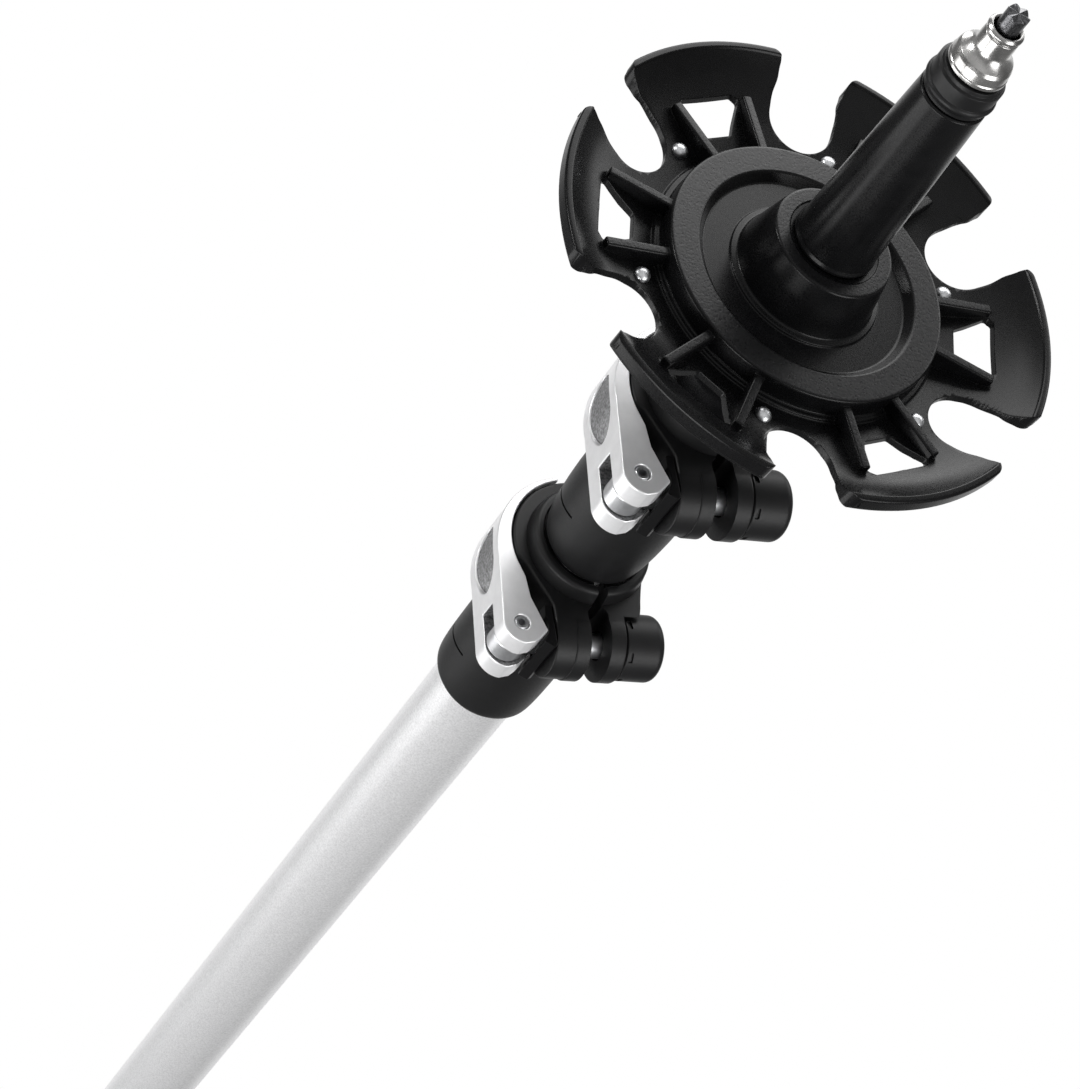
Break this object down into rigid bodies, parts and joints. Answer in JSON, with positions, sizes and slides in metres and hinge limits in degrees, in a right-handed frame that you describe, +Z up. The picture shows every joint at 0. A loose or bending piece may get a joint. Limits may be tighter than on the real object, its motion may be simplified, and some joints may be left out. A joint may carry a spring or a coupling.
{
  "type": "nordic walking pole",
  "caption": "Telescopic nordic walking pole, pushed together, with lever clamps, a carbide tip, a petalled snow basket and a moulded grip with a wrist strap.",
  "frame": {"origin": "centre of the carbide tip's end, on the shaft's axis, at the lowest point of the pushed together pole", "axes": "+Z up along the shaft from tip to grip, -Y the side of the clamp ears, +X the side of the clamp levers"},
  "size_m": [0.092, 0.092, 0.71],
  "materials": {
    "glass_filled_nylon": "satin black, fine moulded grain",
    "acetal": "smooth black",
    "basket_polyamide": "satin black",
    "satin_lever_aluminium": "satin silver",
    "satin_anodised_tube": "satin anodised silver",
    "zinc_plated_steel": "bright zinc plate",
    "turned_brass": "turned",
    "nickel_plate": "bright nickel plate",
    "tungsten_carbide": "sintered grey with bright ground facets",
    "grip_elastomer": "matt black",
    "eva_foam": "matt black foam",
    "polyester_webbing": "woven black"
  },
  "bodies": {
    "upper_section": {"upper_tube": "satin_anodised_tube", "grip_head": "grip_elastomer", "grip_sleeve": "eva_foam", "grip_cap": "glass_filled_nylon", "strap_wedge": "glass_filled_nylon", "wrist_strap": "polyester_webbing", "upper_clamp_body": "glass_filled_nylon", "upper_eye_bolt": "zinc_plated_steel", "upper_cam_saddle": "acetal"},
    "upper_lever_arm": {"upper_lever": "satin_lever_aluminium", "upper_lever_pin": "zinc_plated_steel"},
    "upper_nut": {"upper_thumb_nut": "glass_filled_nylon", "upper_nut_insert": "turned_brass"},
    "middle_section": {"middle_tube": "satin_anodised_tube", "middle_end_plug": "acetal", "lower_clamp_body": "glass_filled_nylon", "lower_eye_bolt": "zinc_plated_steel", "lower_cam_saddle": "acetal"},
    "lower_lever_arm": {"lower_lever": "satin_lever_aluminium", "lower_lever_pin": "zinc_plated_steel"},
    "lower_nut": {"lower_thumb_nut": "glass_filled_nylon", "lower_nut_insert": "turned_brass"},
    "lower_section": {"lower_tube": "satin_anodised_tube", "lower_end_plug": "acetal", "tip_sleeve": "basket_polyamide", "tip_collar": "glass_filled_nylon", "tip_ferrule": "nickel_plate", "carbide_tip": "tungsten_carbide"},
    "basket": {"snow_basket": "basket_polyamide"}
  },
  "joints": [
    {"name": "middle_slide", "type": "slide", "parent": "upper_section", "child": "middle_section", "axis": [0, 0, -1], "range_m": [0, 0.35]},
    {"name": "lower_slide", "type": "slide", "parent": "middle_section", "child": "lower_section", "axis": [0, 0, -1], "range_m": [0, 0.35]},
    {"name": "upper_lever_hinge", "type": "hinge", "parent": "upper_section", "child": "upper_lever_arm", "pos_m": [0.016, -0.0169, 0.165], "axis": [0, 0, -1], "range_deg": [0, 150]},
    {"name": "lower_lever_hinge", "type": "hinge", "parent": "middle_section", "child": "lower_lever_arm", "pos_m": [0.016, -0.0169, 0.1126], "axis": [0, 0, -1], "range_deg": [0, 150]},
    {"name": "upper_nut_turn", "type": "hinge", "parent": "upper_section", "child": "upper_nut", "pos_m": [-0.009, -0.0169, 0.165], "axis": [-1, 0, 0], "continuous": true},
    {"name": "lower_nut_turn", "type": "hinge", "parent": "middle_section", "child": "lower_nut", "pos_m": [-0.009, -0.0169, 0.1126], "axis": [-1, 0, 0], "continuous": true},
    {"name": "basket_turn", "type": "hinge", "parent": "lower_section", "child": "basket", "pos_m": [0, 0, 0.072], "axis": [0, 0, 1], "continuous": true}
  ]
}
